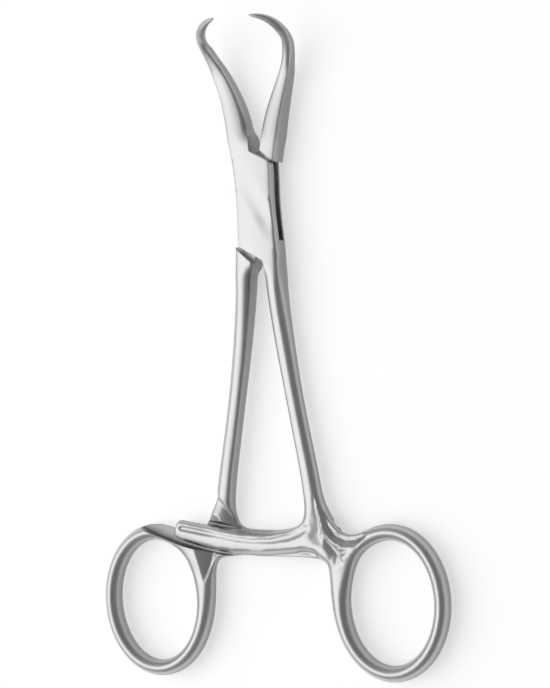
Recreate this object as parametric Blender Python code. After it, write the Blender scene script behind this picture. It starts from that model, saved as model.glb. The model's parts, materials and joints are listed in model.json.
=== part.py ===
"""Bone holding forceps: ring handles, a ratchet, a box lock and two curved, pointed jaws.

The instrument lies on its back with its own plane level. Metres, +Z up. +X is to the right, +Y runs
along the instrument towards the jaws, and the origin is on the pivot axis, in the rear face of the box.

Each half is one forging. It is drawn closed, along the Y axis, as a cage of quads in plan that a
Subdivision Surface rounds off. Then its lock, its ratchet and the lap for the other half's ratchet
arm are milled into it with Booleans, and it is swung open by half of OPEN_ANGLE.
"""
import math

import bmesh
import bpy
from mathutils import Matrix, Vector

MM = 0.001

# Lock
BOX_DEPTH = 5.8 * MM
BOX_LENGTH = 16.0 * MM
UPPER_SHOULDER = 10.4 * MM        # where a slanting shoulder meets the plane between the halves
LOWER_SHOULDER = 11.9 * MM
SHOULDER_SLOPE = 0.68             # drop of a shoulder across the width of the box
UPPER_SPLIT = 0.75 * MM           # the plane between the halves, right of the pivot axis
LOWER_SPLIT = 0.4 * MM
SLOT_DEPTH = 2.0 * MM
SLOT_RADIUS = 9.3 * MM
WAIST_HALF_WIDTH = 2.4 * MM
WAIST_TURN = math.radians(150.0)  # how far the waist's rounded ends run from the X axis
CLEARANCE = 0.3 * MM              # between faces of the two halves that slide or meet
RELIEF = 0.15 * MM                # how much deeper the waist's sides are milled than its faces
PIN_DIAMETER = 3.0 * MM
PIN_CLEARANCE = 0.05 * MM         # round the pin, in both halves
OPEN_ANGLE = math.radians(11.6)   # between the halves as the instrument lies

# Shank
SHANK_START = 13.2 * MM
SHANK_END = 62.3 * MM
SHANK_DEPTH = 3.8 * MM

# Ring
RING_X = 18.37 * MM
RING_DROP = 21.49 * MM            # from the shank's end to the middle of the ring
RING_Y = -SHANK_END - RING_DROP
RING_HALF_WIDTH = 10.95 * MM      # to the middle of its section
RING_HALF_LENGTH = 14.2 * MM
RING_SECTION_WIDTH = 3.3 * MM
RING_DEPTH = 4.8 * MM
RING_TILT = math.radians(1.2)
RING_ROOT = 2.0 * MM              # how much wider the ring is where it leaves the junction
RING_FLUTE = 0.7 * MM             # how far its front is hollowed there
RING_FIRST = math.radians(156.0)  # where the ring leaves its junction with the shank
RING_LAST = math.radians(470.0)
RING_ROWS = 18

# Junction of shank, ring and ratchet arm: its corners, right and up from the ends that they join
ARMPIT_CORNER = (-0.55, -4.3)     # between the shank and the arm
NOTCH_CORNER = (0.3, -4.75)       # outside, between the shank and the end of the ring
PALM_CORNER = (-3.8, 3.5)         # between the arm and the start of the ring
HOLE_CORNER = (-0.8, 0.5)         # in the ring's hole
JUNCTION_FLUTE = 0.9 * MM         # how far the middle is hollowed
JUNCTION_BULGE = 0.24 * MM

# Ratchet
RATCHET_DROP = 7.4 * MM           # from the shank's end to the middle of the arm
RATCHET_RADIUS = SHANK_END + RATCHET_DROP
RATCHET_WIDTH = 5.3 * MM
RATCHET_TIP_WIDTH = 3.5 * MM
RATCHET_RISE = 2.6 * MM           # from the middle plane to the arm's outer face
RATCHET_STOCK = 0.4 * MM          # how far past the middle plane it is forged, before it is milled
FRONT_REACH = math.radians(23.5)  # how far round the pivot each arm reaches, closed
REAR_REACH = math.radians(18.5)
FRONT_ROOT = math.radians(3.2)    # where the arm leaves the junction
REAR_ROOT = math.radians(0.8)
LAP_SLOPE = 5.0 * MM              # length of the run-out towards the shank
LAP_MARGIN = 0.35 * MM            # beyond each edge of the arm that passes
LAP_OWN = math.radians(26.0)      # how far the lap runs along the arm, and the other way
LAP_OTHER = math.radians(28.0)
LAP_STEPS = 24
TEETH = 8
TOOTH_PITCH = 1.6 * MM
TOOTH_HEIGHT = 0.7 * MM
TOOTH_FIRST = math.radians(4.0)
TOOTH_OPENING = 0.85              # of the pitch
TOOTH_LEAN = 0.1

LEVELS = 1
MIDDLE = BOX_DEPTH / 2            # height of the middle plane
FAR = 20 * MM                     # past any face that a cutter has to clear

# Corners of a section, as a share of its half width and half depth, and the crease along them
ROUND = (0.25, 0.0)
EASED = (0.16, 0.35)
SQUARE = (0.12, 0.5)
WALL_BULGE = 1.5                  # how far out the middle of a side stands, for each share of its corners
CROWN = 0.5                       # and the same for the middle of the front and rear

# Outer edge of a jaw from the tip to the lock: x, y, height over the middle plane, half depth, width
JAW = [(0.2, 37.6, 9.4, 0.25, 0.4), (1.5, 37.85, 8.8, 0.55, 0.95), (3.2, 37.8, 7.9, 0.85, 1.4),
       (5.1, 37.1, 6.9, 1.1, 1.8), (6.5, 35.8, 5.75, 1.3, 2.0), (7.2, 34.4, 4.4, 1.5, 2.1),
       (7.35, 32.9, 3.1, 1.6, 2.15), (7.1, 31.2, 2.0, 1.7, 2.3), (6.55, 28.6, 0.9, 1.8, 2.85),
       (5.87, 25.5, 0.0, 1.9, 3.45), (5.13, 21.0, -0.4, 2.1, 4.3), (4.72, 16.6, -0.35, 2.35, 5.0),
       (4.65, 13.6, -0.1, 2.8, 4.85)]
JAW_THINNER = 0.75 * MM           # the through half's jaw is this much slimmer below its curve
JAW_CURVE = 31.0

# Sides of the box: height in plan, distance of the left and of the right side from the axis
BOX = [(10.9, 4.45, 5.25), (6.5, 4.2, 5.05), (0.0, 4.4, 4.2), (-6.5, 5.15, 4.15), (-10.9, 5.7, 4.2)]

# Shank in plan, as a share of its length: inner edge, outer edge, extra half depth
SHANK = [(0.0, 0.25, 3.75, 0.95), (0.07, 0.08, 3.75, 0.95), (0.16, 0.0, 3.75, 0.7),
         (0.32, 0.15, 3.9, 0.25), (0.49, 0.7, 4.12, 0.05), (0.65, 1.25, 4.65, 0.0),
         (0.82, 1.85, 5.42, 0.05), (0.92, 2.15, 5.78, 0.1), (1.0, 2.05, 5.95, 0.2)]


class Cage:
    """A forging drawn in plan: quads with a front and a rear height at each point."""

    def __init__(self):
        self.points = []
        self.quads = []

    def point(self, x, y, front, rear, bulge=0.0, crease=0.0):
        self.points.append((Vector((x, y)), front, rear, bulge, crease))
        return len(self.points) - 1

    def row(self, left, right, front, rear, left_corner, right_corner, flute=0.0):
        """Three points across a branch, with its corners drawn in and its middle raised."""
        left = Vector(left)
        right = Vector(right)
        across = (right - left) / 2
        half_depth = (front - rear) / 2
        ids = []
        for edge, inward, (share, crease) in ((left, across, left_corner), (right, -across, right_corner)):
            drop = share * half_depth
            at = edge + inward * share
            bulge = WALL_BULGE * share * across.length
            ids.append(self.point(at.x, at.y, front - drop, rear + drop, bulge, crease))
        rise = CROWN * (left_corner[0] + right_corner[0]) / 2 * half_depth
        centre = left + across
        ids.insert(1, self.point(centre.x, centre.y, front + rise - flute, rear - rise))
        return ids

    def strip(self, rows):
        for near, far in zip(rows, rows[1:]):
            for k in range(len(near) - 1):
                self.quads.append((near[k], far[k], far[k + 1], near[k + 1]))

    def mesh(self, name, mirrored):
        """The closed cage. A mirrored one is reflected in the plane X = 0."""
        side = -1 if mirrored else 1
        edges = {(quad[k], quad[(k + 1) % 4]) for quad in self.quads for k in range(4)}
        rim = [(a, b) for a, b in edges if (b, a) not in edges]
        outward = {}
        for a, b in rim:
            along = (self.points[b][0] - self.points[a][0]).normalized()
            for end in (a, b):
                outward[end] = outward.get(end, Vector((0, 0))) + Vector((along.y, -along.x))

        bm = bmesh.new()
        front = []
        rear = []
        for at, top, bottom, bulge, crease in self.points:
            front.append(bm.verts.new((side * at.x, at.y, MIDDLE + top)))
            rear.append(bm.verts.new((side * at.x, at.y, MIDDLE + bottom)))
        wall = {}
        for end, normal in outward.items():
            at, top, bottom, bulge, crease = self.points[end]
            at = at + normal.normalized() * bulge
            wall[end] = bm.verts.new((side * at.x, at.y, MIDDLE + (top + bottom) / 2))

        faces = []
        for quad in self.quads:
            faces.append([front[k] for k in quad])
            faces.append([rear[k] for k in reversed(quad)])
        for a, b in rim:
            faces.append([front[b], front[a], wall[a], wall[b]])
            faces.append([wall[b], wall[a], rear[a], rear[b]])
        for corners in faces:
            bm.faces.new(list(reversed(corners)) if mirrored else corners)

        crease_layer = bm.edges.layers.float.new("crease_edge")
        for a, b in rim:
            crease = min(self.points[a][4], self.points[b][4])
            for sheet in (front, rear):
                bm.edges.get((sheet[a], sheet[b]))[crease_layer] = crease
        data = bpy.data.meshes.new(name)
        bm.to_mesh(data)
        bm.free()
        return data


def jaw_rows(cage, thinner):
    """Rows from the tip down to the lock. The jaw is drawn on the left of the axis."""
    edge = [Vector((-x * MM, y * MM)) for x, y, height, half_depth, width in JAW]
    rows = []
    for k, (x, y, height, half_depth, width) in enumerate(JAW):
        heading = (edge[min(k + 1, len(edge) - 1)] - edge[max(k - 1, 0)]).normalized()
        slim = thinner if y < JAW_CURVE else 0.0
        inner = edge[k] + Vector((-heading.y, heading.x)) * (width * MM - slim)
        middle = height * MM
        half = half_depth * MM
        rows.append(cage.row(edge[k], inner, middle + half, middle - half, ROUND, EASED))
    return rows


def box_rows(cage):
    """The wide block of the lock, level and square. Cutters trim both its ends."""
    half = BOX_DEPTH / 2
    rows = []
    for y, left, right in BOX:
        rows.append(cage.row((-left * MM, y * MM), (right * MM, y * MM), half, -half, SQUARE, SQUARE))
    return rows


def shank_rows(cage):
    """Rows from the lock to the junction. The inner side is flat and the outer side is round."""
    rows = []
    for share, inner, outer, extra in SHANK:
        y = -(SHANK_START + share * (SHANK_END - SHANK_START))
        half = SHANK_DEPTH / 2 + extra * MM
        rows.append(cage.row((inner * MM, y), (outer * MM, y - 0.25 * MM), half, -half, EASED, ROUND))
    return rows


def ring_point(angle, offset):
    """A point of the ring, offset outwards from the middle of its section."""
    step = (RING_LAST - RING_FIRST) / (RING_ROWS - 1)
    swell = 3 / (2 + math.cos(step))       # a smoothed cage draws in by this much
    x = swell * (RING_HALF_WIDTH + offset) * math.cos(angle)
    y = swell * (RING_HALF_LENGTH + offset) * math.sin(angle)
    tilt = Matrix.Rotation(-OPEN_ANGLE / 2 - RING_TILT, 2)
    return Vector((RING_X, RING_Y)) + tilt @ Vector((x, y))


def ring_rows(cage):
    """Rows once round the ring, from the shank's inner side back to its outer side."""
    half_width = RING_SECTION_WIDTH / 2
    half = RING_DEPTH / 2
    rows = []
    for k in range(RING_ROWS):
        angle = RING_FIRST + (RING_LAST - RING_FIRST) * k / (RING_ROWS - 1)
        fade = 3 ** k
        outer = ring_point(angle, half_width + RING_ROOT / fade)
        inner = ring_point(angle, -half_width)
        rows.append(cage.row(outer, inner, half, -half, ROUND, ROUND, RING_FLUTE / fade))
    return rows


def arm_point(angle, radius):
    return Vector((-radius * math.sin(angle), -radius * math.cos(angle)))


def arm_rows(cage, front, rear, root, reach):
    """Rows along the ratchet arm, from the junction to its rounded tip."""
    rows = []
    for share, width_share in ((0.0, 0.0), (0.3, 0.0), (0.6, 0.15), (0.82, 0.45), (0.95, 0.7), (1.0, 0.9)):
        angle = root + (reach - root) * share
        half_width = (RATCHET_WIDTH + (RATCHET_TIP_WIDTH - RATCHET_WIDTH) * width_share) / 2
        inner = arm_point(angle, RATCHET_RADIUS - half_width)
        outer = arm_point(angle, RATCHET_RADIUS + half_width)
        rows.append(cage.row(inner, outer, front, rear, EASED, EASED))
    return rows


def junction(cage, front, rear):
    """Nine points where the shank, the ratchet arm and both ends of the ring meet."""
    shank = Vector((SHANK[-1][1] * MM, -SHANK_END))
    last = ring_point(RING_LAST, 0)
    hole = ring_point((RING_FIRST + RING_LAST - math.tau) / 2, -RING_SECTION_WIDTH / 2)
    armpit = shank + Vector(ARMPIT_CORNER) * MM
    notch = (last + shank) / 2 + Vector(NOTCH_CORNER) * MM
    palm = ring_point(RING_FIRST, 0) + Vector(PALM_CORNER) * MM
    inside = hole + Vector(HOLE_CORNER) * MM
    centre = (armpit + notch + palm + inside) / 4
    grid = [[armpit, (armpit + notch) / 2, notch],
            [(armpit + palm) / 2, centre, (notch + inside) / 2],
            [palm, (palm + inside) / 2, inside]]
    lines = []
    for line in grid:
        ids = []
        for at in line:
            dip = JUNCTION_FLUTE if at is centre else 0.0
            bulge = JUNCTION_BULGE if at in (armpit, notch, palm, inside) else 0.0
            ids.append(cage.point(at.x, at.y, front - dip, rear, bulge))
        lines.append(ids)
    return lines


def forging(name, mirrored):
    """The cage of one half. A mirrored half has its ratchet arm behind and not in front."""
    cage = Cage()
    jaws = jaw_rows(cage, JAW_THINNER if mirrored else 0.0)
    lock = box_rows(cage)
    shank = shank_rows(cage)
    front = RATCHET_RISE
    rear = -RING_DEPTH / 2
    if mirrored:
        front, rear = -rear, -front
    joint = junction(cage, front, rear)
    if mirrored:
        arm = arm_rows(cage, RATCHET_STOCK, rear, REAR_ROOT, REAR_REACH)
    else:
        arm = arm_rows(cage, front, -RATCHET_STOCK, FRONT_ROOT, FRONT_REACH)
    ring = ring_rows(cage)
    cage.strip(jaws + lock + shank + joint)
    cage.strip([[line[0] for line in joint]] + arm)
    cage.strip([joint[2]] + ring + [[line[2] for line in joint]])
    piece = bpy.data.objects.new(name, cage.mesh(name, mirrored))
    bpy.context.scene.collection.objects.link(piece)
    smooth = piece.modifiers.new("Forged surface", "SUBSURF")
    smooth.levels = LEVELS
    smooth.render_levels = LEVELS
    smooth.boundary_smooth = "PRESERVE_CORNERS"
    piece.modifiers.new("Flat facets", "TRIANGULATE")
    milled = piece.modifiers.new("Milled", "BOOLEAN")
    milled.operation = "DIFFERENCE"
    milled.solver = "EXACT"
    milled.operand_type = "COLLECTION"
    milled.collection = bpy.data.collections.new(name + "_cutters")
    bpy.context.scene.collection.children.link(milled.collection)
    return piece


def solid(name, bm):
    """An object, not yet in the scene, from a closed bmesh."""
    bmesh.ops.recalc_face_normals(bm, faces=bm.faces)
    data = bpy.data.meshes.new(name)
    bm.to_mesh(data)
    bm.free()
    return bpy.data.objects.new(name, data)


def prism(name, outline, low, high):
    """A plan outline, given anticlockwise, drawn out between two heights."""
    bm = bmesh.new()
    base = bm.faces.new([bm.verts.new((x, y, low)) for x, y in outline])
    raised = bmesh.ops.extrude_face_region(bm, geom=[base])
    lifted = [item for item in raised["geom"] if isinstance(item, bmesh.types.BMVert)]
    bmesh.ops.translate(bm, vec=(0, 0, high - low), verts=lifted)
    return solid(name, bm)


def arc(radius, start, end, steps=12):
    """Points of an arc round the pivot axis, both ends included."""
    angles = [start + (end - start) * k / steps for k in range(steps + 1)]
    return [(radius * math.cos(angle), radius * math.sin(angle)) for angle in angles]


def disc(radius):
    """A full circle that has no corner on an axis, where the forgings have edges."""
    sides = 48
    return arc(radius, math.pi / sides, math.tau + math.pi / sides, sides)[:-1]


def cut(piece, tool):
    """Adds a cutter to those that are milled out of a piece."""
    tool.hide_render = True
    tool.display_type = "WIRE"
    tool.parent = piece.parent
    piece.modifiers["Milled"].collection.objects.link(tool)


def shoulder(x, end, offset=0.0):
    """Height in plan, at x, of the slanting shoulder at an end of the box (+1 upper, -1 lower)."""
    reach = (UPPER_SHOULDER if end > 0 else LOWER_SHOULDER) + offset * math.hypot(1, SHOULDER_SLOPE)
    split = UPPER_SPLIT if end > 0 else LOWER_SPLIT
    return end * reach - SHOULDER_SLOPE * (x - split)


def beyond(wall, end):
    """Plan of what lies past a shoulder of the box, on the other half's side of the wall."""
    far = end * FAR
    top = end * BOX_LENGTH
    return [(wall, shoulder(wall, end)), (far, shoulder(far, end)), (far, top), (wall, top)]


def slot_outline(upper, lower):
    """Plan of the slot: a disc for the waist, with a way out past each wall."""
    start = math.acos(upper / SLOT_RADIUS)
    outline = [(upper, BOX_LENGTH)] + arc(SLOT_RADIUS, start, math.pi)
    outline += [(-FAR, 0), (-FAR, -BOX_LENGTH), (lower, -BOX_LENGTH)]
    start = -math.acos(lower / SLOT_RADIUS)
    return outline + arc(SLOT_RADIUS, start, 0) + [(FAR, 0), (FAR, BOX_LENGTH)]


def mill_box(piece):
    """Ends of the box half's plates, the slot between them and the pin hole."""
    upper = UPPER_SPLIT - CLEARANCE / 2
    lower = LOWER_SPLIT + CLEARANCE / 2
    cut(piece, prism("box_pin_hole", disc(PIN_DIAMETER / 2 + PIN_CLEARANCE), -FAR, FAR))
    cut(piece, prism("box_end_upper", beyond(upper, 1), -FAR, FAR))
    cut(piece, prism("box_end_lower", beyond(lower, -1), -FAR, FAR))
    cut(piece, prism("slot", slot_outline(upper, lower), MIDDLE - SLOT_DEPTH / 2, MIDDLE + SLOT_DEPTH / 2))


def waist_flank(side):
    """Plan of what comes off one side of the waist, up to a shoulder."""
    far = side * FAR
    wide = side * WAIST_HALF_WIDTH
    bottom = -side * BOX_LENGTH / 2
    depth = CLEARANCE + RELIEF
    return [(wide, bottom), (far, bottom),
            (far, shoulder(far, side, depth)), (wide, shoulder(wide, side, depth))]


def waist_corner(wall, end):
    """Plan of what comes off past the end of the waist, on the other half's side of the wall."""
    far = -end * FAR
    top = end * BOX_LENGTH
    radius = SLOT_RADIUS - CLEARANCE
    bend = arc(radius, end * WAIST_TURN, end * math.acos(end * wall / radius))
    turned = [(end * x, y) for x, y in bend]
    return [(wall, top), (far, top), (far, turned[0][1])] + turned


def mill_waist(piece):
    """Waist of the through half: thinned between its shoulders, narrowed and rounded in plan."""
    ends = ((FAR, 1), (-FAR, 1), (-FAR, -1), (FAR, -1))
    between = [(x, shoulder(x, end, CLEARANCE)) for x, end in ends]
    half_waist = SLOT_DEPTH / 2 - CLEARANCE
    cut(piece, prism("waist_pin_hole", disc(PIN_DIAMETER / 2 + PIN_CLEARANCE), -FAR, FAR))
    cut(piece, prism("waist_front", between, MIDDLE + half_waist, FAR))
    cut(piece, prism("waist_rear", between, -FAR, MIDDLE - half_waist))
    deep = half_waist + RELIEF
    cut(piece, prism("waist_right", waist_flank(1), MIDDLE - deep, MIDDLE + deep))
    cut(piece, prism("waist_left", waist_flank(-1), MIDDLE - deep, MIDDLE + deep))
    cut(piece, prism("waist_end_upper", waist_corner(UPPER_SPLIT + CLEARANCE / 2, 1), -FAR, FAR))
    cut(piece, prism("waist_end_lower", waist_corner(LOWER_SPLIT - CLEARANCE / 2, -1), -FAR, FAR))


def lap_cutter(name, face):
    """Swept round the pivot: clears the path of the other half's ratchet arm. face is +1 or -1."""
    inner = RATCHET_RADIUS - RATCHET_WIDTH / 2 - LAP_MARGIN
    outer = RATCHET_RADIUS + RATCHET_WIDTH / 2 + LAP_MARGIN
    floor = CLEARANCE / 2
    rise = RING_DEPTH / 2 + floor
    far = 3 * rise
    profile = [(inner, -floor), (outer, -floor),
               (outer + LAP_MARGIN, far), (inner - LAP_SLOPE * far / rise, far)]
    bm = bmesh.new()
    loops = []
    for k in range(LAP_STEPS + 1):
        angle = -LAP_OTHER + k * (LAP_OWN + LAP_OTHER) / LAP_STEPS
        loop = []
        for radius, height in profile:
            at = arm_point(angle, radius)
            loop.append(bm.verts.new((-face * at.x, at.y, MIDDLE + face * height)))
        loops.append(loop)
    for this, following in zip(loops, loops[1:]):
        for k in range(4):
            n = (k + 1) % 4
            bm.faces.new((this[k], this[n], following[n], following[k]))
    bm.faces.new(loops[0])
    bm.faces.new(loops[-1])
    return solid(name, bm)


def tooth_cutter(name, face):
    """Saw teeth across the arm's inner face, as one comb of wedges."""
    bm = bmesh.new()
    root = CLEARANCE / 2
    low = RATCHET_RADIUS - RATCHET_WIDTH
    high = RATCHET_RADIUS + RATCHET_WIDTH
    step = TOOTH_PITCH / RATCHET_RADIUS
    for k in range(TEETH):
        start = TOOTH_FIRST + k * step
        ends = []
        for radius in (low, high):
            corners = ((start, -root), (start + TOOTH_OPENING * step, -root),
                       (start + TOOTH_LEAN * step, root + TOOTH_HEIGHT))
            ends.append([bm.verts.new((face * arm_point(angle, radius).x, arm_point(angle, radius).y,
                                       MIDDLE + face * height)) for angle, height in corners])
        for a in range(3):
            b = (a + 1) % 3
            bm.faces.new((ends[0][a], ends[0][b], ends[1][b], ends[1][a]))
        bm.faces.new(ends[0])
        bm.faces.new(ends[1])
    return solid(name, bm)


def steel(name, shade, roughness):
    material = bpy.data.materials.new(name)
    material.use_nodes = True
    shader = material.node_tree.nodes["Principled BSDF"]
    shader.inputs["Base Color"].default_value = (shade, shade, shade, 1.0)
    shader.inputs["Metallic"].default_value = 1.0
    shader.inputs["Roughness"].default_value = roughness
    return material


def finish(piece, material):
    piece.data.materials.append(material)
    piece.data.shade_smooth()
    piece.data.set_sharp_from_angle(angle=math.radians(35))


def swing(name, angle):
    """An empty on the pivot axis that carries one half."""
    empty = bpy.data.objects.new(name, None)
    bpy.context.scene.collection.objects.link(empty)
    empty.rotation_euler.z = angle
    return empty


def build():
    for item in list(bpy.data.objects):
        bpy.data.objects.remove(item)
    box_swing = swing("box_swing", OPEN_ANGLE / 2)
    through_swing = swing("through_swing", -OPEN_ANGLE / 2)

    box_half = forging("box_half", False)
    box_half.parent = box_swing
    mill_box(box_half)
    cut(box_half, lap_cutter("box_lap", -1))
    cut(box_half, tooth_cutter("box_teeth", 1))
    finish(box_half, steel("satin_steel_box", 0.62, 0.28))

    through_half = forging("through_half", True)
    through_half.parent = through_swing
    mill_waist(through_half)
    cut(through_half, lap_cutter("through_lap", 1))
    cut(through_half, tooth_cutter("through_teeth", -1))
    finish(through_half, steel("satin_steel_through", 0.62, 0.28))

    pin = prism("pivot_pin", disc(PIN_DIAMETER / 2), 0, BOX_DEPTH)
    pin.parent = box_swing
    bpy.context.scene.collection.objects.link(pin)
    finish(pin, steel("ground_steel_pin", 0.62, 0.24))


build()
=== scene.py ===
"""Bone holding forceps, dressed for its picture.

Both halves and the pin are drawn again as in the CAD model, with a finer surface and the slopes and
flutes that are ground into it by hand, and replace the CAD nodes. The floor, the lights and the camera
follow. Metres, in the CAD model's frame.
"""
import json
import math

import bmesh
import bpy
from mathutils import Matrix, Vector

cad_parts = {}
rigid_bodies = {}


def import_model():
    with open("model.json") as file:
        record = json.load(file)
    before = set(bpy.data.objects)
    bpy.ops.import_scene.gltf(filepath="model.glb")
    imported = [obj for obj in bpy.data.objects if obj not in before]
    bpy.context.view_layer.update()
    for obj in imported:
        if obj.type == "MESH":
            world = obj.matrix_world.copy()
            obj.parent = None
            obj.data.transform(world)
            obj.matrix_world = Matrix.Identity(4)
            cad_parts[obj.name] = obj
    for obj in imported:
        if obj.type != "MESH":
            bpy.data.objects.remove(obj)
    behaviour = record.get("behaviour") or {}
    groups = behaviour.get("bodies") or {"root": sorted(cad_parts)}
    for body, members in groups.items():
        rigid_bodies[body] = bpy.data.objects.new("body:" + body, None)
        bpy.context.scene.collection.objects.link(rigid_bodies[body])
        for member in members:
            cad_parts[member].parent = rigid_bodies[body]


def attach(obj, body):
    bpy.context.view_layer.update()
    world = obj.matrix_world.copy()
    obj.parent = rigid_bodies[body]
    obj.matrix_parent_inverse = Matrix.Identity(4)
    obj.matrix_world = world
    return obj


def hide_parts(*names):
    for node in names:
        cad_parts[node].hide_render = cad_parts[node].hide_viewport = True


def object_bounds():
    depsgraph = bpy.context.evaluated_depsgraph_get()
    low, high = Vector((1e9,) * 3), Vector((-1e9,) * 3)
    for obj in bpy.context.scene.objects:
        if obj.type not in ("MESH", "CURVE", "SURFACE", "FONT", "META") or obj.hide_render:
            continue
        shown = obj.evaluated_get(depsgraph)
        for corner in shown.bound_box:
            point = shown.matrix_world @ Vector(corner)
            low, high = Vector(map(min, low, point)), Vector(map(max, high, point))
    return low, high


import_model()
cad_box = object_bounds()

MM = 0.001

# Lock
BOX_DEPTH = 5.8 * MM
BOX_LENGTH = 16.0 * MM
UPPER_SHOULDER = 10.4 * MM        # where a slanting shoulder meets the plane between the halves
LOWER_SHOULDER = 11.9 * MM
SHOULDER_SLOPE = 0.68             # drop of a shoulder across the width of the box
UPPER_SPLIT = 0.75 * MM           # the plane between the halves, right of the pivot axis
LOWER_SPLIT = 0.4 * MM
SLOT_DEPTH = 2.0 * MM
SLOT_RADIUS = 9.3 * MM
WAIST_HALF_WIDTH = 2.4 * MM
WAIST_TURN = math.radians(150.0)  # how far the waist's rounded ends run from the X axis
CLEARANCE = 0.3 * MM              # between faces of the two halves that slide or meet
RELIEF = 0.15 * MM                # how much deeper the waist's sides are milled than its faces
PIN_DIAMETER = 3.0 * MM
PIN_CLEARANCE = 0.005 * MM        # round the pin, whose rear end shows as a hairline
PIN_COVER = 0.5 * MM              # steel over the front end, which is peened and ground out of sight
PIN_SIDES = 96
OPEN_ANGLE = math.radians(11.6)   # between the halves as the instrument lies

# Shank
SHANK_START = 13.2 * MM
SHANK_END = 62.3 * MM
SHANK_DEPTH = 3.8 * MM
SHANK_SLANT = 0.25 * MM           # how much lower the outer end of each row lies
SQUARE_SHARE = 0.1                # of the length, from the lock, where the outer edge is still crisp

# Ring
RING_X = 18.37 * MM
RING_DROP = 21.49 * MM            # from the shank's end to the middle of the ring
RING_Y = -SHANK_END - RING_DROP
RING_HALF_WIDTH = 10.95 * MM      # to the middle of its section
RING_HALF_LENGTH = 14.2 * MM
RING_SECTION_WIDTH = 3.3 * MM
RING_DEPTH = 4.8 * MM
RING_TILT = math.radians(1.2)
RING_ROOT = 2.0 * MM              # how much wider the ring is where it leaves the junction
RING_FLUTE = 0.7 * MM             # how far its front is hollowed there
RING_FIRST = math.radians(156.0)  # where the ring leaves its junction with the shank
RING_LAST = math.radians(470.0)
RING_ROWS = 18

# Junction of shank, ring and ratchet arm: its corners, right and up from the ends that they join
ARMPIT_CORNER = (-0.55, -4.3)     # between the shank and the arm
NOTCH_CORNER = (0.3, -4.75)       # outside, between the shank and the end of the ring
PALM_CORNER = (-3.8, 3.5)         # between the arm and the start of the ring
HOLE_CORNER = (-0.8, 0.5)         # in the ring's hole
JUNCTION_FLUTE = 0.9 * MM         # how far the middle is hollowed
JUNCTION_BULGE = 0.24 * MM

# Ratchet
RATCHET_DROP = 7.4 * MM           # from the shank's end to the middle of the arm
RATCHET_RADIUS = SHANK_END + RATCHET_DROP
RATCHET_WIDTH = 5.3 * MM
RATCHET_TIP_WIDTH = 3.5 * MM
RATCHET_ROWS = ((0.0, 0.0), (0.3, 0.0), (0.6, 0.15), (0.82, 0.45), (0.95, 0.7), (1.0, 0.9))  # length, taper
RATCHET_RISE = 2.6 * MM           # from the middle plane to the arm's outer face
RATCHET_STOCK = 0.4 * MM          # how far past the middle plane it is forged, before it is milled
FRONT_REACH = math.radians(23.5)  # how far round the pivot each arm reaches, closed
REAR_REACH = math.radians(18.5)
FRONT_ROOT = math.radians(3.2)    # where the arm leaves the junction
REAR_ROOT = math.radians(0.8)
LAP_SLOPE = 1.2 * MM              # length of the run-out towards the shank
LAP_MARGIN = 0.35 * MM            # beyond each edge of the arm that passes
LAP_OWN = math.radians(26.0)      # how far the lap runs along the arm, and the other way
LAP_OTHER = math.radians(28.0)
LAP_STEPS = 96
TEETH = 8
TOOTH_PITCH = 1.6 * MM
TOOTH_HEIGHT = 0.7 * MM
TOOTH_FIRST = math.radians(4.0)
TOOTH_OPENING = 0.85              # of the pitch
TOOTH_LEAN = 0.1

LEVELS = 3                        # of subdivision
MIDDLE = BOX_DEPTH / 2            # height of the middle plane
FAR = 20 * MM                     # past any face that a cutter has to clear

# Corners of a section, as a share of its half width and half depth, and the crease along them
ROUND = (0.25, 0.0)
EASED = (0.16, 0.35)
SQUARE = (0.12, 0.5)
WALL_BULGE = 1.5                  # how far the middle of a side stands out, for each share of its corners
CROWN = 0.5                       # and the same for the middle of the front and rear

# Outer edge of a jaw from the tip to the lock: x, y, height over the middle plane, half depth, width
JAW = [(0.2, 37.6, 9.4, 0.25, 0.4), (1.5, 37.85, 8.8, 0.55, 0.95), (3.2, 37.8, 7.9, 0.85, 1.4),
       (5.1, 37.1, 6.9, 1.1, 1.8), (6.5, 35.8, 5.75, 1.3, 2.0), (7.2, 34.4, 4.4, 1.5, 2.1),
       (7.35, 32.9, 3.1, 1.6, 2.15), (7.1, 31.2, 2.0, 1.7, 2.3), (6.55, 28.6, 0.9, 1.8, 2.85),
       (5.87, 25.5, 0.0, 1.9, 3.45), (5.13, 21.0, -0.3, 2.3, 4.3), (4.72, 16.6, -0.2, 2.6, 5.0),
       (4.65, 13.6, -0.1, 2.8, 4.85)]
JAW_THINNER = 0.75 * MM           # the through half's jaw is this much slimmer below its curve
JAW_CURVE = 31.0                  # above this height in plan, in mm, the outer edge is rounded

# Sides of the box: height in plan, distance of the left and of the right side from the axis
BOX = [(10.9, 4.45, 5.25), (6.5, 4.2, 5.05), (0.0, 4.4, 4.2), (-6.5, 5.15, 4.15), (-10.9, 5.7, 4.2)]

# Shank in plan, as a share of its length: inner edge, outer edge, extra half depth
SHANK = [(0.0, 0.25, 3.75, 0.95), (0.07, 0.08, 3.75, 0.95), (0.16, 0.0, 3.75, 0.7),
         (0.32, 0.15, 3.9, 0.25), (0.49, 0.7, 4.12, 0.05), (0.65, 1.25, 4.65, 0.0),
         (0.82, 1.85, 5.42, 0.05), (0.92, 2.15, 5.78, 0.1), (1.0, 2.05, 5.95, 0.2)]


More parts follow.
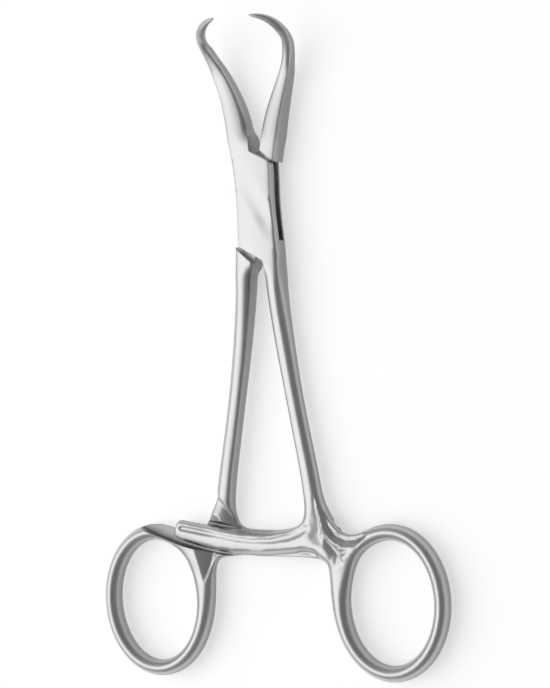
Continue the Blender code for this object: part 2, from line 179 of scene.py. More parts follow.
class Cage:
    """A forging drawn in plan: quads with a front and a rear height at each point."""

    def __init__(self):
        self.points = []
        self.quads = []

    def point(self, x, y, front, rear, bulge=0.0, crease=0.0):
        self.points.append((Vector((x, y)), front, rear, bulge, crease))
        return len(self.points) - 1

    def row(self, left, right, front, rear, left_corner, right_corner, flute=0.0):
        """Three points across a branch, with its corners drawn in and its middle raised."""
        left = Vector(left)
        right = Vector(right)
        across = (right - left) / 2
        half_depth = (front - rear) / 2
        ids = []
        for edge, inward, (share, crease) in ((left, across, left_corner), (right, -across, right_corner)):
            drop = share * half_depth
            at = edge + inward * share
            bulge = WALL_BULGE * share * across.length
            ids.append(self.point(at.x, at.y, front - drop, rear + drop, bulge, crease))
        rise = CROWN * (left_corner[0] + right_corner[0]) / 2 * half_depth
        centre = left + across
        ids.insert(1, self.point(centre.x, centre.y, front + rise - flute, rear - rise))
        return ids

    def strip(self, rows):
        for near, far in zip(rows, rows[1:]):
            for k in range(len(near) - 1):
                self.quads.append((near[k], far[k], far[k + 1], near[k + 1]))

    def mesh(self, name, mirrored):
        """The closed cage. A mirrored one is reflected in the plane X = 0."""
        side = -1 if mirrored else 1
        edges = {(quad[k], quad[(k + 1) % 4]) for quad in self.quads for k in range(4)}
        rim = [(a, b) for a, b in edges if (b, a) not in edges]
        outward = {}
        for a, b in rim:
            along = (self.points[b][0] - self.points[a][0]).normalized()
            for end in (a, b):
                outward[end] = outward.get(end, Vector((0, 0))) + Vector((along.y, -along.x))

        bm = bmesh.new()
        front = []
        rear = []
        for at, top, bottom, bulge, crease in self.points:
            front.append(bm.verts.new((side * at.x, at.y, MIDDLE + top)))
            rear.append(bm.verts.new((side * at.x, at.y, MIDDLE + bottom)))
        wall = {}
        for end, normal in outward.items():
            at, top, bottom, bulge, crease = self.points[end]
            at = at + normal.normalized() * bulge
            wall[end] = bm.verts.new((side * at.x, at.y, MIDDLE + (top + bottom) / 2))

        faces = []
        for quad in self.quads:
            faces.append([front[k] for k in quad])
            faces.append([rear[k] for k in reversed(quad)])
        for a, b in rim:
            faces.append([front[b], front[a], wall[a], wall[b]])
            faces.append([wall[b], wall[a], rear[a], rear[b]])
        for corners in faces:
            bm.faces.new(list(reversed(corners)) if mirrored else corners)

        crease_layer = bm.edges.layers.float.new("crease_edge")
        for a, b in rim:
            crease = min(self.points[a][4], self.points[b][4])
            for sheet in (front, rear):
                bm.edges.get((sheet[a], sheet[b]))[crease_layer] = crease
        data = bpy.data.meshes.new(name)
        bm.to_mesh(data)
        bm.free()
        return data


def jaw_rows(cage, thinner):
    """Rows from the tip down to the lock. The jaw is drawn on the left of the axis."""
    edge = [Vector((-x * MM, y * MM)) for x, y, height, half_depth, width in JAW]
    rows = []
    for k, (x, y, height, half_depth, width) in enumerate(JAW):
        heading = (edge[min(k + 1, len(edge) - 1)] - edge[max(k - 1, 0)]).normalized()
        slim = thinner if y < JAW_CURVE else 0.0
        inner = edge[k] + Vector((-heading.y, heading.x)) * (width * MM - slim)
        middle = height * MM
        half = half_depth * MM
        corner = SQUARE if y < JAW_CURVE else ROUND
        rows.append(cage.row(edge[k], inner, middle + half, middle - half, corner, EASED))
    return rows


def box_rows(cage):
    """The wide block of the lock, level and square. Cutters trim both its ends."""
    half = BOX_DEPTH / 2
    rows = []
    for y, left, right in BOX:
        rows.append(cage.row((-left * MM, y * MM), (right * MM, y * MM), half, -half, SQUARE, SQUARE))
    return rows


def shank_rows(cage):
    """Rows from the lock to the junction. The inner side is flat and the outer side is round."""
    rows = []
    for share, inner, outer, extra in SHANK:
        y = -(SHANK_START + share * (SHANK_END - SHANK_START))
        half = SHANK_DEPTH / 2 + extra * MM
        corner = EASED if share < SQUARE_SHARE else ROUND
        rows.append(cage.row((inner * MM, y), (outer * MM, y - SHANK_SLANT), half, -half, EASED, corner))
    return rows


def ring_point(angle, offset):
    """A point of the ring, offset outwards from the middle of its section."""
    step = (RING_LAST - RING_FIRST) / (RING_ROWS - 1)
    swell = 3 / (2 + math.cos(step))       # a smoothed cage draws in by this much
    x = swell * (RING_HALF_WIDTH + offset) * math.cos(angle)
    y = swell * (RING_HALF_LENGTH + offset) * math.sin(angle)
    tilt = Matrix.Rotation(-OPEN_ANGLE / 2 - RING_TILT, 2)
    return Vector((RING_X, RING_Y)) + tilt @ Vector((x, y))


def ring_rows(cage):
    """Rows once round the ring, from the shank's inner side back to its outer side."""
    half_width = RING_SECTION_WIDTH / 2
    half = RING_DEPTH / 2
    rows = []
    for k in range(RING_ROWS):
        angle = RING_FIRST + (RING_LAST - RING_FIRST) * k / (RING_ROWS - 1)
        fade = 3 ** k
        outer = ring_point(angle, half_width + RING_ROOT / fade)
        inner = ring_point(angle, -half_width)
        rows.append(cage.row(outer, inner, half, -half, ROUND, ROUND, RING_FLUTE / fade))
    return rows


def arm_point(angle, radius):
    return Vector((-radius * math.sin(angle), -radius * math.cos(angle)))


def arm_rows(cage, front, rear, root, reach):
    """Rows along the ratchet arm, from the junction to its rounded tip."""
    rows = []
    for share, taper in RATCHET_ROWS:
        angle = root + (reach - root) * share
        half_width = (RATCHET_WIDTH + (RATCHET_TIP_WIDTH - RATCHET_WIDTH) * taper) / 2
        inner = arm_point(angle, RATCHET_RADIUS - half_width)
        outer = arm_point(angle, RATCHET_RADIUS + half_width)
        rows.append(cage.row(inner, outer, front, rear, EASED, EASED))
    return rows


def junction(cage, front, rear):
    """Nine points where the shank, the ratchet arm and both ends of the ring meet."""
    shank = Vector((SHANK[-1][1] * MM, -SHANK_END))
    last = ring_point(RING_LAST, 0)
    hole = ring_point((RING_FIRST + RING_LAST - math.tau) / 2, -RING_SECTION_WIDTH / 2)
    armpit = shank + Vector(ARMPIT_CORNER) * MM
    notch = (last + shank) / 2 + Vector(NOTCH_CORNER) * MM
    palm = ring_point(RING_FIRST, 0) + Vector(PALM_CORNER) * MM
    inside = hole + Vector(HOLE_CORNER) * MM
    centre = (armpit + notch + palm + inside) / 4
    grid = [[armpit, (armpit + notch) / 2, notch],
            [(armpit + palm) / 2, centre, (notch + inside) / 2],
            [palm, (palm + inside) / 2, inside]]
    lines = []
    for line in grid:
        ids = []
        for at in line:
            dip = JUNCTION_FLUTE if at is centre else 0.0
            bulge = JUNCTION_BULGE if at in (armpit, notch, palm, inside) else 0.0
            ids.append(cage.point(at.x, at.y, front - dip, rear, bulge))
        lines.append(ids)
    return lines


def forging(name, mirrored):
    """The cage of one half. A mirrored half has its ratchet arm behind and not in front."""
    cage = Cage()
    jaws = jaw_rows(cage, JAW_THINNER if mirrored else 0.0)
    lock = box_rows(cage)
    shank = shank_rows(cage)
    front = RATCHET_RISE
    rear = -RING_DEPTH / 2
    if mirrored:
        front, rear = -rear, -front
    joint = junction(cage, front, rear)
    if mirrored:
        arm = arm_rows(cage, RATCHET_STOCK, rear, REAR_ROOT, REAR_REACH)
    else:
        arm = arm_rows(cage, front, -RATCHET_STOCK, FRONT_ROOT, FRONT_REACH)
    ring = ring_rows(cage)
    cage.strip(jaws + lock + shank + joint)
    cage.strip([[line[0] for line in joint]] + arm)
    cage.strip([joint[2]] + ring + [[line[2] for line in joint]])
    piece = bpy.data.objects.new(name, cage.mesh(name, mirrored))
    bpy.context.scene.collection.objects.link(piece)
    smooth = piece.modifiers.new("Forged surface", "SUBSURF")
    smooth.levels = LEVELS
    smooth.render_levels = LEVELS
    smooth.boundary_smooth = "PRESERVE_CORNERS"
    piece.modifiers.new("Flat facets", "TRIANGULATE")
    milled = piece.modifiers.new("Milled", "BOOLEAN")
    milled.operation = "DIFFERENCE"
    milled.solver = "EXACT"
    milled.operand_type = "COLLECTION"
    milled.collection = bpy.data.collections.new(name + "_cutters")
    bpy.context.scene.collection.children.link(milled.collection)
    return piece


def solid(name, bm):
    """An object, not yet in the scene, from a closed bmesh."""
    bmesh.ops.recalc_face_normals(bm, faces=bm.faces)
    data = bpy.data.meshes.new(name)
    bm.to_mesh(data)
    bm.free()
    return bpy.data.objects.new(name, data)


def prism(name, outline, low, high):
    """A plan outline, given anticlockwise, drawn out between two heights."""
    bm = bmesh.new()
    base = bm.faces.new([bm.verts.new((x, y, low)) for x, y in outline])
    raised = bmesh.ops.extrude_face_region(bm, geom=[base])
    lifted = [item for item in raised["geom"] if isinstance(item, bmesh.types.BMVert)]
    bmesh.ops.translate(bm, vec=(0, 0, high - low), verts=lifted)
    return solid(name, bm)


def arc(radius, start, end, steps=48):
    """Points of an arc round the pivot axis, both ends included."""
    angles = [start + (end - start) * k / steps for k in range(steps + 1)]
    return [(radius * math.cos(angle), radius * math.sin(angle)) for angle in angles]


def disc(radius):
    """A full circle that has no corner on an axis, where the forgings have edges."""
    start = math.pi / PIN_SIDES
    return arc(radius, start, math.tau + start, PIN_SIDES)[:-1]


def cut(piece, tool):
    """Adds a cutter to those that are milled out of a piece."""
    piece.modifiers["Milled"].collection.objects.link(tool)


def shoulder(x, end, offset=0.0):
    """Height in plan, at x, of the slanting shoulder at an end of the box (+1 upper, -1 lower)."""
    reach = (UPPER_SHOULDER if end > 0 else LOWER_SHOULDER) + offset * math.hypot(1, SHOULDER_SLOPE)
    split = UPPER_SPLIT if end > 0 else LOWER_SPLIT
    return end * reach - SHOULDER_SLOPE * (x - split)


def beyond(wall, end):
    """Plan of what lies past a shoulder of the box, on the other half's side of the wall."""
    far = end * FAR
    top = end * BOX_LENGTH
    return [(wall, shoulder(wall, end)), (far, shoulder(far, end)), (far, top), (wall, top)]


def slot_outline(upper, lower):
    """Plan of the slot: a disc for the waist, with a way out past each wall."""
    start = math.acos(upper / SLOT_RADIUS)
    outline = [(upper, BOX_LENGTH)] + arc(SLOT_RADIUS, start, math.pi)
    outline += [(-FAR, 0), (-FAR, -BOX_LENGTH), (lower, -BOX_LENGTH)]
    start = -math.acos(lower / SLOT_RADIUS)
    return outline + arc(SLOT_RADIUS, start, 0) + [(FAR, 0), (FAR, BOX_LENGTH)]


def mill_box(piece):
    """Ends of the box half's plates, the slot between them and the pin hole."""
    upper = UPPER_SPLIT - CLEARANCE / 2
    lower = LOWER_SPLIT + CLEARANCE / 2
    bore = disc(PIN_DIAMETER / 2 + PIN_CLEARANCE)
    cut(piece, prism("box_pin_hole", bore, -FAR, BOX_DEPTH - PIN_COVER))
    cut(piece, prism("box_end_upper", beyond(upper, 1), -FAR, FAR))
    cut(piece, prism("box_end_lower", beyond(lower, -1), -FAR, FAR))
    half_slot = SLOT_DEPTH / 2
    cut(piece, prism("slot", slot_outline(upper, lower), MIDDLE - half_slot, MIDDLE + half_slot))


def waist_flank(side):
    """Plan of what comes off one side of the waist, up to a shoulder."""
    far = side * FAR
    wide = side * WAIST_HALF_WIDTH
    bottom = -side * BOX_LENGTH / 2
    depth = CLEARANCE + RELIEF
    return [(wide, bottom), (far, bottom),
            (far, shoulder(far, side, depth)), (wide, shoulder(wide, side, depth))]


def waist_corner(wall, end):
    """Plan of what comes off past the end of the waist, on the other half's side of the wall."""
    far = -end * FAR
    top = end * BOX_LENGTH
    radius = SLOT_RADIUS - CLEARANCE
    bend = arc(radius, end * WAIST_TURN, end * math.acos(end * wall / radius))
    turned = [(end * x, y) for x, y in bend]
    return [(wall, top), (far, top), (far, turned[0][1])] + turned


def mill_waist(piece):
    """Waist of the through half: thinned between its shoulders, narrowed and rounded in plan."""
    ends = ((FAR, 1), (-FAR, 1), (-FAR, -1), (FAR, -1))
    between = [(x, shoulder(x, end, CLEARANCE)) for x, end in ends]
    half_waist = SLOT_DEPTH / 2 - CLEARANCE
    cut(piece, prism("waist_pin_hole", disc(PIN_DIAMETER / 2 + PIN_CLEARANCE), -FAR, FAR))
    cut(piece, prism("waist_front", between, MIDDLE + half_waist, FAR))
    cut(piece, prism("waist_rear", between, -FAR, MIDDLE - half_waist))
    deep = half_waist + RELIEF
    cut(piece, prism("waist_right", waist_flank(1), MIDDLE - deep, MIDDLE + deep))
    cut(piece, prism("waist_left", waist_flank(-1), MIDDLE - deep, MIDDLE + deep))
    cut(piece, prism("waist_end_upper", waist_corner(UPPER_SPLIT + CLEARANCE / 2, 1), -FAR, FAR))
    cut(piece, prism("waist_end_lower", waist_corner(LOWER_SPLIT - CLEARANCE / 2, -1), -FAR, FAR))


def lap_cutter(name, face):
    """Swept round the pivot: clears the path of the other half's ratchet arm. face is +1 or -1."""
    inner = RATCHET_RADIUS - RATCHET_WIDTH / 2 - LAP_MARGIN
    outer = RATCHET_RADIUS + RATCHET_WIDTH / 2 + LAP_MARGIN
    floor = CLEARANCE / 2
    rise = RING_DEPTH / 2 + floor
    far = 3 * rise
    profile = [(inner, -floor), (outer, -floor),
               (outer + LAP_MARGIN, far), (inner - LAP_SLOPE * far / rise, far)]
    bm = bmesh.new()
    loops = []
    for k in range(LAP_STEPS + 1):
        angle = -LAP_OTHER + k * (LAP_OWN + LAP_OTHER) / LAP_STEPS
        loop = []
        for radius, height in profile:
            at = arm_point(angle, radius)
            loop.append(bm.verts.new((-face * at.x, at.y, MIDDLE + face * height)))
        loops.append(loop)
    for this, following in zip(loops, loops[1:]):
        for k in range(4):
            n = (k + 1) % 4
            bm.faces.new((this[k], this[n], following[n], following[k]))
    bm.faces.new(loops[0])
    bm.faces.new(loops[-1])
    return solid(name, bm)


def tooth_cutter(name, face):
    """Saw teeth across the arm's inner face, as one comb of wedges."""
    bm = bmesh.new()
    root = CLEARANCE / 2
    low = RATCHET_RADIUS - RATCHET_WIDTH
    high = RATCHET_RADIUS + RATCHET_WIDTH
    step = TOOTH_PITCH / RATCHET_RADIUS
    for k in range(TEETH):
        start = TOOTH_FIRST + k * step
        ends = []
        for radius in (low, high):
            corners = ((start, -root), (start + TOOTH_OPENING * step, -root),
                       (start + TOOTH_LEAN * step, root + TOOTH_HEIGHT))
            end = []
            for angle, height in corners:
                at = arm_point(angle, radius)
                end.append(bm.verts.new((face * at.x, at.y, MIDDLE + face * height)))
            ends.append(end)
        for a in range(3):
            b = (a + 1) % 3
            bm.faces.new((ends[0][a], ends[0][b], ends[1][b], ends[1][a]))
        bm.faces.new(ends[0])
        bm.faces.new(ends[1])
    return solid(name, bm)


SHARP = math.radians(35)          # edges with a wider turn than this stay crisp


def finished(piece, cutters, node, body, angle):
    """The milled piece as one mesh, swung open and kept in the CAD model's box, for its CAD node."""
    depsgraph = bpy.context.evaluated_depsgraph_get()
    mesh = bpy.data.meshes.new_from_object(piece.evaluated_get(depsgraph))
    mesh.transform(Matrix.Rotation(angle, 4, "Z"))
    if cutters:
        for tool in list(cutters.objects):
            bpy.data.objects.remove(tool)
        bpy.data.collections.remove(cutters)
    bpy.data.objects.remove(piece)
    low, high = cad_box
    for vertex in mesh.vertices:
        for axis in range(3):
            vertex.co[axis] = min(max(vertex.co[axis], low[axis]), high[axis])
    mesh.shade_smooth()
    mesh.set_sharp_from_angle(angle=SHARP)
    dressed = bpy.data.objects.new(node + "_steel", mesh)
    bpy.context.scene.collection.objects.link(dressed)
    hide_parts(node)
    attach(dressed, body)


# Hand-ground slopes and flutes. For each: the height in mm from which the stock gives, the shape of its
# profile, the width of the bank on the left of its way as a share of the other, then x, y, half width
# and depth in mm along its way, all with the halves closed
FLAT = 1                          # two flat slopes that meet in a valley
HOLLOW = 2                        # a round bottom, with an edge where each bank starts
SMOOTH = 0                        # a round bottom and no edge
BOX_STROKES = (
    # Flute along the front arm
    (3, HOLLOW, 1, [(-26.2, -64.1, 0.6, 0.4), (-20.9, -65.6, 0.6, 0.36), (-17.7, -66.5, 0.5, 0.16),
                    (-14.6, -67.4, 0.55, 0.2), (-10.3, -68.3, 0.6, 0.22), (-5.9, -68.7, 0.65, 0.3),
                    (-1.7, -68.4, 0.85, 0.42), (0.6, -67.7, 1, 0.45), (2.4, -67, 0.7, 0.3)]),
    # Slope that widens down the shank into the junction
    (2, FLAT, 0.2, [(4.8, -60.5, 0.4, 0), (4.9, -63.1, 1.1, 0.3), (5.2, -65.6, 2.1, 0.68),
                    (5.3, -68, 2.9, 0.95)]),
    # Forked hollow from the junction into the root of the ring
    (2, FLAT, 0.35, [(5.3, -67, 0.5, 0.1), (6.7, -70, 1.3, 0.7), (8.6, -72.8, 2.3, 1.1),
                     (7.9, -75.8, 0.3, 0)]),
    (2, FLAT, 1, [(8.6, -72.8, 1.3, 1), (11.8, -72.2, 0.3, 0.1)]),
    # Slope in the notch between shank and ring
    (1, FLAT, 1, [(6.2, -64.3, 0.5, 0.2), (7.1, -67.2, 1.1, 0.9), (8.2, -69.1, 1.5, 1.4),
                  (10.3, -70.3, 1.7, 1.6), (12.5, -70.4, 1.5, 1.4), (14.8, -69.8, 0.8, 0.5)]),
    # Lower and upper edge of the arm
    (3.2, FLAT, 1, [(-25.5, -67, 0.6, 0.35), (-19.1, -69.3, 0.7, 0.45), (-15.1, -70.5, 0.9, 0.8),
                    (-7.5, -71.6, 1, 1.1), (-1.8, -71.8, 1, 1.1), (1.2, -71.7, 1, 1.1),
                    (3.4, -72.3, 0.9, 0.8), (4.8, -73.6, 0.5, 0.2)]),
    (3.2, FLAT, 1, [(-23.9, -62.9, 0.3, 0.15), (-16.6, -65.2, 0.7, 0.5), (-12.5, -66.1, 0.8, 0.7),
                    (-6.8, -66.9, 0.8, 0.7), (-2.2, -66.8, 0.7, 0.5), (0.6, -66.1, 0.5, 0.25),
                    (2.2, -64.6, 0.3, 0.1)]),
    # Shallow hand-polished hollow across the box
    (4, SMOOTH, 1, [(-3.1, 9.1, 2.6, 0), (-0.4, 2.6, 2.6, 0.3), (2, -3.2, 2.6, 0.34),
                    (3.9, -7.8, 2.6, 0.1)]),
    # Inner side of the jaw
    (1.6, FLAT, 1, [(-5.4, 33.2, 0.5, 0.5), (-3.4, 29.3, 0.8, 0.9), (-0.9, 23.7, 1, 1.3),
                    (0.9, 18.4, 1.2, 1.5), (2.1, 13.6, 1.4, 1.7), (2.3, 12.3, 1.3, 1.6)]),
)
THROUGH_STROKES = (
    # Hollow below the arm that passes in front, down to a point on the ring
    (1, FLAT, 0.6, [(-5.4, -69.4, 5.9, 3.4), (-7, -78.5, 0.3, 0)]),
    # Slanting facet on the shank above the arm
    (0.7, FLAT, 0.25, [(-8.5, -57.7, 1.5, 0.2), (-5.8, -60.7, 3.2, 0.9), (-0.1, -67, 6, 2.6)]),
)
FULL_HEIGHT = 4.9                 # in mm: at and above it the stock gives all of a stroke's depth
FINE = 0.3 * MM                   # an edge that is longer than this under a stroke is cut in two
FINE_HEIGHT = 2                   # in mm: no edge is cut below it
FINE_ROUNDS = 2
BOX_BLENDS = 5                    # rounds of smoothing over the strokes
THROUGH_BLENDS = 1


def pressed(x, y, stroke):
    """How deep a stroke goes at a point of the plan, all in mm."""
    shape, bank, nodes = stroke[1:]
    share = 1.0
    depth = 0.0
    for (ax, ay, a_half, a_deep), (bx, by, b_half, b_deep) in zip(nodes, nodes[1:]):
        dx = bx - ax
        dy = by - ay
        along = ((x - ax) * dx + (y - ay) * dy) / (dx * dx + dy * dy)
        along = min(max(along, 0.0), 1.0)
        off = math.hypot(x - ax - along * dx, y - ay - along * dy)
        half = a_half + (b_half - a_half) * along
        if dx * (y - ay) > dy * (x - ax):
            half *= bank
        if off / half < share:
            share = off / half
            depth = a_deep + (b_deep - a_deep) * along
    if shape == SMOOTH:
        return depth * (1 + math.cos(math.pi * share)) / 2
    return depth * (1 - share ** shape)


def window(stroke):
    """Corners of the plan that a stroke can reach, in mm."""
    nodes = stroke[3]
    reach = max(node[2] for node in nodes)
    across = [node[0] for node in nodes]
    along = [node[1] for node in nodes]
    return min(across) - reach, max(across) + reach, min(along) - reach, max(along) + reach


def milled_tool(tool, finishes):
    """The cutter, set to leave the milled finish, which is the second of the piece's two: rougher, and
    darker by painted shade in the laps and teeth.
    """
    for material in finishes:
        tool.data.materials.append(material)
    for face in tool.data.polygons:
        face.material_index = 1
    return tool


def ground(piece, strokes, finishes, blends):
    """The piece, its forged surface made into a mesh with the strokes pressed into the front."""
    milled = piece.modifiers["Milled"]
    milled.show_viewport = False
    depsgraph = bpy.context.evaluated_depsgraph_get()
    mesh = bpy.data.meshes.new_from_object(piece.evaluated_get(depsgraph))
    milled.show_viewport = True
    piece.modifiers.remove(piece.modifiers["Forged surface"])
    piece.modifiers.remove(piece.modifiers["Flat facets"])
    windows = [(window(stroke), stroke) for stroke in strokes]

    def depth_at(x, y, z):
        deepest = 0.0
        for (left, right, low, high), stroke in windows:
            if left < x < right and low < y < high and z > stroke[0]:
                give = min((z - stroke[0]) / (FULL_HEIGHT - stroke[0]), 1.0)
                deepest = max(deepest, pressed(x, y, stroke) * give)
        return deepest

    bm = bmesh.new()
    bm.from_mesh(mesh)
    for _ in range(FINE_ROUNDS):
        near = []
        for edge in bm.edges:
            x, y, z = (edge.verts[0].co + edge.verts[1].co) / 2 / MM
            if edge.calc_length() > FINE and z > FINE_HEIGHT and depth_at(x, y, z) > 0:
                near.append(edge)
        bmesh.ops.subdivide_edges(bm, edges=near, cuts=1)
        bmesh.ops.triangulate(bm, faces=[face for face in bm.faces if len(face.verts) > 3])
    touched = []
    for vertex in bm.verts:
        depth = depth_at(*(vertex.co / MM))
        if depth > 0:
            vertex.co.z -= depth * MM
            touched.append(vertex)
    for _ in range(blends):
        bmesh.ops.smooth_vert(bm, verts=touched, factor=0.5, use_axis_z=True)
    bm.to_mesh(mesh)
    bm.free()
    mesh.materials.clear()
    for material in finishes:
        mesh.materials.append(material)
    piece.data = mesh
    return piece


POLISHED = (0.62, 0.32)           # shade and roughness
# milled faces of the laps and teeth: rougher, and darker by painted shade, as they lie in recesses under
# the arms
MILLED_AND_PAINTED_SHADE = (0.4, 0.42)
FLANK_PAINTED_SHADE = 0.5                       # painted shade on a flank: its colour as a share of its face's
PAINTED_SHADE_LIMITS = (0.1, 0.75)        # how level a surface is where the painted shade of a flank is full, and where a face keeps its own colour
GRAIN_SCALE = (5000, 700, 5000)   # polishing marks, drawn out along the instrument
GRAIN_STRENGTH = 0.12
GRAIN_HEIGHT = 0.02 * MM
CLOUD_SCALE = 260.0
CLOUD_TONE = (0.96, 1.04)
ROUGHNESS_SPREAD = (-0.05, 0.06)
EASED_EDGE = 0.3 * MM             # radius of every edge, in the shading alone


def steel(name, finish):
    """Satin stainless steel: fine polishing grain, soft clouds, slightly eased edges, and painted shade
    that darkens the flanks.
    """
    shade, roughness = finish
    material = bpy.data.materials.new(name)
    material.use_nodes = True
    nodes = material.node_tree.nodes
    links = material.node_tree.links
    shader = nodes["Principled BSDF"]
    shader.inputs["Metallic"].default_value = 1.0
    coord = nodes.new("ShaderNodeTexCoord")
    grain_at = nodes.new("ShaderNodeMapping")
    grain_at.inputs["Scale"].default_value = GRAIN_SCALE
    links.new(coord.outputs["Object"], grain_at.inputs["Vector"])
    grain = nodes.new("ShaderNodeTexNoise")
    grain.inputs["Scale"].default_value = 1.0
    grain.inputs["Detail"].default_value = 3.0
    links.new(grain_at.outputs["Vector"], grain.inputs["Vector"])
    cloud = nodes.new("ShaderNodeTexNoise")
    cloud.inputs["Scale"].default_value = CLOUD_SCALE
    cloud.inputs["Detail"].default_value = 4.0
    links.new(coord.outputs["Object"], cloud.inputs["Vector"])

    # Painted shade: surfaces that face sideways, the flanks, get a darker colour than the faces
    facing = nodes.new("ShaderNodeSeparateXYZ")
    links.new(coord.outputs["Normal"], facing.inputs["Vector"])
    level = nodes.new("ShaderNodeMath")
    level.operation = "ABSOLUTE"
    links.new(facing.outputs["Z"], level.inputs[0])
    painted_flank_shade = nodes.new("ShaderNodeMapRange")
    painted_flank_shade.interpolation_type = "SMOOTHSTEP"
    painted_flank_shade.inputs["From Min"].default_value = PAINTED_SHADE_LIMITS[0]
    painted_flank_shade.inputs["From Max"].default_value = PAINTED_SHADE_LIMITS[1]
    painted_flank_shade.inputs["To Min"].default_value = shade * FLANK_PAINTED_SHADE
    painted_flank_shade.inputs["To Max"].default_value = shade
    links.new(level.outputs["Value"], painted_flank_shade.inputs["Value"])
    tone = nodes.new("ShaderNodeMapRange")
    tone.inputs["To Min"].default_value = CLOUD_TONE[0]
    tone.inputs["To Max"].default_value = CLOUD_TONE[1]
    links.new(cloud.outputs["Fac"], tone.inputs["Value"])
    colour = nodes.new("ShaderNodeMath")
    colour.operation = "MULTIPLY"
    links.new(painted_flank_shade.outputs["Result"], colour.inputs[0])
    links.new(tone.outputs["Result"], colour.inputs[1])
    links.new(colour.outputs["Value"], shader.inputs["Base Color"])

    # Roughness follows the clouds, and the grain half as much
    mixed = nodes.new("ShaderNodeMath")
    mixed.operation = "MULTIPLY_ADD"
    mixed.inputs[1].default_value = 0.5
    links.new(grain.outputs["Fac"], mixed.inputs[0])
    links.new(cloud.outputs["Fac"], mixed.inputs[2])
    rough = nodes.new("ShaderNodeMapRange")
    rough.inputs["From Min"].default_value = 0.3
    rough.inputs["From Max"].default_value = 1.1
    rough.inputs["To Min"].default_value = roughness + ROUGHNESS_SPREAD[0]
    rough.inputs["To Max"].default_value = roughness + ROUGHNESS_SPREAD[1]
    links.new(mixed.outputs["Value"], rough.inputs["Value"])
    links.new(rough.outputs["Result"], shader.inputs["Roughness"])

    eased = nodes.new("ShaderNodeBevel")
    eased.samples = 4
    eased.inputs["Radius"].default_value = EASED_EDGE
    bump = nodes.new("ShaderNodeBump")
    bump.inputs["Strength"].default_value = GRAIN_STRENGTH
    bump.inputs["Distance"].default_value = GRAIN_HEIGHT
    links.new(eased.outputs["Normal"], bump.inputs["Normal"])
    links.new(grain.outputs["Fac"], bump.inputs["Height"])
    links.new(bump.outputs["Normal"], shader.inputs["Normal"])
    return material


box_steel = [steel("satin_steel_box_polished", POLISHED),
             steel("satin_steel_box_milled_painted_shade", MILLED_AND_PAINTED_SHADE)]
through_steel = [steel("satin_steel_through_polished", POLISHED),
                 steel("satin_steel_through_milled_painted_shade", MILLED_AND_PAINTED_SHADE)]

box_half = ground(forging("box_half_cage", False), BOX_STROKES, box_steel, BOX_BLENDS)
mill_box(box_half)
cut(box_half, milled_tool(lap_cutter("box_lap", -1), box_steel))
cut(box_half, milled_tool(tooth_cutter("box_teeth", 1), box_steel))
through_half = ground(forging("through_half_cage", True), THROUGH_STROKES, through_steel, THROUGH_BLENDS)
mill_waist(through_half)
cut(through_half, milled_tool(lap_cutter("through_lap", 1), through_steel))
cut(through_half, milled_tool(tooth_cutter("through_teeth", -1), through_steel))
pin = prism("pin_blank", disc(PIN_DIAMETER / 2), 0, BOX_DEPTH - PIN_COVER)
pin.data.materials.append(steel("ground_steel_pin_polished", POLISHED))
bpy.context.scene.collection.objects.link(pin)

finished(box_half, box_half.modifiers["Milled"].collection, "box_half", "box_side",
         OPEN_ANGLE / 2)
finished(through_half, through_half.modifiers["Milled"].collection, "through_half", "through_side",
         -OPEN_ANGLE / 2)
finished(pin, None, "pivot_pin", "box_side", OPEN_ANGLE / 2)

# White paper under the instrument, lifted a little for the rays that see it, and not for its light
FLOOR_HALF = 2.0
FLOOR_DROP = 0.02 * MM            # below the instrument
PAPER = 0.93
PAPER_LIFT = 0.45
bm = bmesh.new()
bmesh.ops.create_grid(bm, x_segments=1, y_segments=1, size=FLOOR_HALF)
floor_mesh = bpy.data.meshes.new("floor")
bm.to_mesh(floor_mesh)
bm.free()
floor = bpy.data.objects.new("floor", floor_mesh)
floor.location.z = -FLOOR_DROP
bpy.context.scene.collection.objects.link(floor)
paper = bpy.data.materials.new("floor_paper")
paper.use_nodes = True
nodes = paper.node_tree.nodes
links = paper.node_tree.links
shader = nodes["Principled BSDF"]
shader.inputs["Base Color"].default_value = (PAPER, PAPER, PAPER, 1)
shader.inputs["Roughness"].default_value = 0.9
shader.inputs["Specular IOR Level"].default_value = 0.0
shader.inputs["Emission Color"].default_value = (1, 1, 1, 1)
path = nodes.new("ShaderNodeLightPath")
seen = path.outputs["Is Camera Ray"]
for kind in ("Is Glossy Ray", "Is Transmission Ray"):
    either = nodes.new("ShaderNodeMath")
    either.operation = "MAXIMUM"
    links.new(seen, either.inputs[0])
    links.new(path.outputs[kind], either.inputs[1])
    seen = either.outputs["Value"]
lift = nodes.new("ShaderNodeMath")
lift.operation = "MULTIPLY"
lift.inputs[1].default_value = PAPER_LIFT
links.new(seen, lift.inputs[0])
links.new(lift.outputs["Value"], shader.inputs["Emission Strength"])
floor_mesh.materials.append(paper)

AIM = Vector((0, -0.03, 0))       # what the lamps face, just below the lock


def softbox(name, direction, distance, width, height, radiance):
    """A rectangular area light, at a distance from what it faces."""
    lamp = bpy.data.lights.new(name, "AREA")
    lamp.shape = "RECTANGLE"
    lamp.size = width
    lamp.size_y = height
    lamp.energy = radiance * math.pi * width * height
    light = bpy.data.objects.new(name, lamp)
    away = Vector(direction).normalized()
    light.location = AIM + away * distance
    light.rotation_euler = away.to_track_quat("Z", "Y").to_euler()
    bpy.context.scene.collection.objects.link(light)


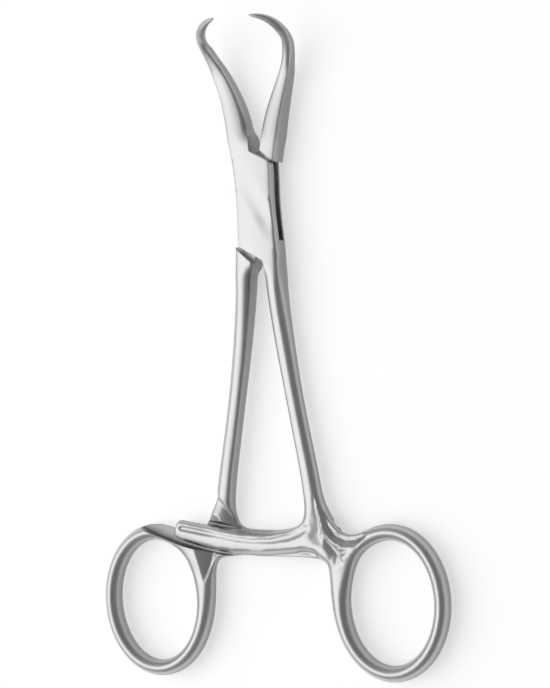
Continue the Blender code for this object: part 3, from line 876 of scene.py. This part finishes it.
softbox("broad", (-0.50, 0, 0.87), 0.9, 1.3, 1.3, 0.5)
softbox("core", (-0.53, 0, 0.85), 0.8, 0.6, 1.2, 0.55)

# Sky, paler on the left
SKY_LEFT = 0.45
SKY_RIGHT = 0.2
world = bpy.data.worlds.new("studio")
world.use_nodes = True
nodes = world.node_tree.nodes
links = world.node_tree.links
sky = nodes["Background"]
direction = nodes.new("ShaderNodeTexCoord")
sideways = nodes.new("ShaderNodeVectorMath")
sideways.operation = "DOT_PRODUCT"
sideways.inputs[1].default_value = (1, 0, 0)
links.new(direction.outputs["Generated"], sideways.inputs[0])
falloff = nodes.new("ShaderNodeMapRange")
falloff.interpolation_type = "SMOOTHSTEP"
falloff.inputs["From Min"].default_value = -0.8
falloff.inputs["From Max"].default_value = 0.7
falloff.inputs["To Min"].default_value = SKY_LEFT
falloff.inputs["To Max"].default_value = SKY_RIGHT
links.new(sideways.outputs["Value"], falloff.inputs["Value"])
links.new(falloff.outputs["Result"], sky.inputs["Color"])
bpy.context.scene.world = world
bpy.context.scene.view_settings.view_transform = "Standard"

# Camera: it looks down on the instrument from 27 degrees to the right
AZIMUTH = math.radians(27.0)
ROLL = -0.0356                    # radians
CAMERA_DISTANCE = 0.5191
FOCAL_LENGTH = 133.08             # mm, on a frame 36 mm high
TARGET = Vector((0.002523, -0.028939, 0.0029))
back = Vector((math.sin(AZIMUTH), 0, math.cos(AZIMUTH)))
right = Vector((0, 1, 0)).cross(back).normalized()
up = back.cross(right)
rolled_right = right * math.cos(ROLL) + up * math.sin(ROLL)
rolled_up = up * math.cos(ROLL) - right * math.sin(ROLL)
lens = bpy.data.cameras.new("camera")
lens.sensor_fit = "VERTICAL"
lens.sensor_height = 36
lens.lens = FOCAL_LENGTH
lens.clip_start = 0.01
camera = bpy.data.objects.new("camera", lens)
camera.matrix_world = Matrix((rolled_right, rolled_up, back)).transposed().to_4x4()
camera.location = TARGET + back * CAMERA_DISTANCE
bpy.context.scene.collection.objects.link(camera)
bpy.context.scene.camera = camera
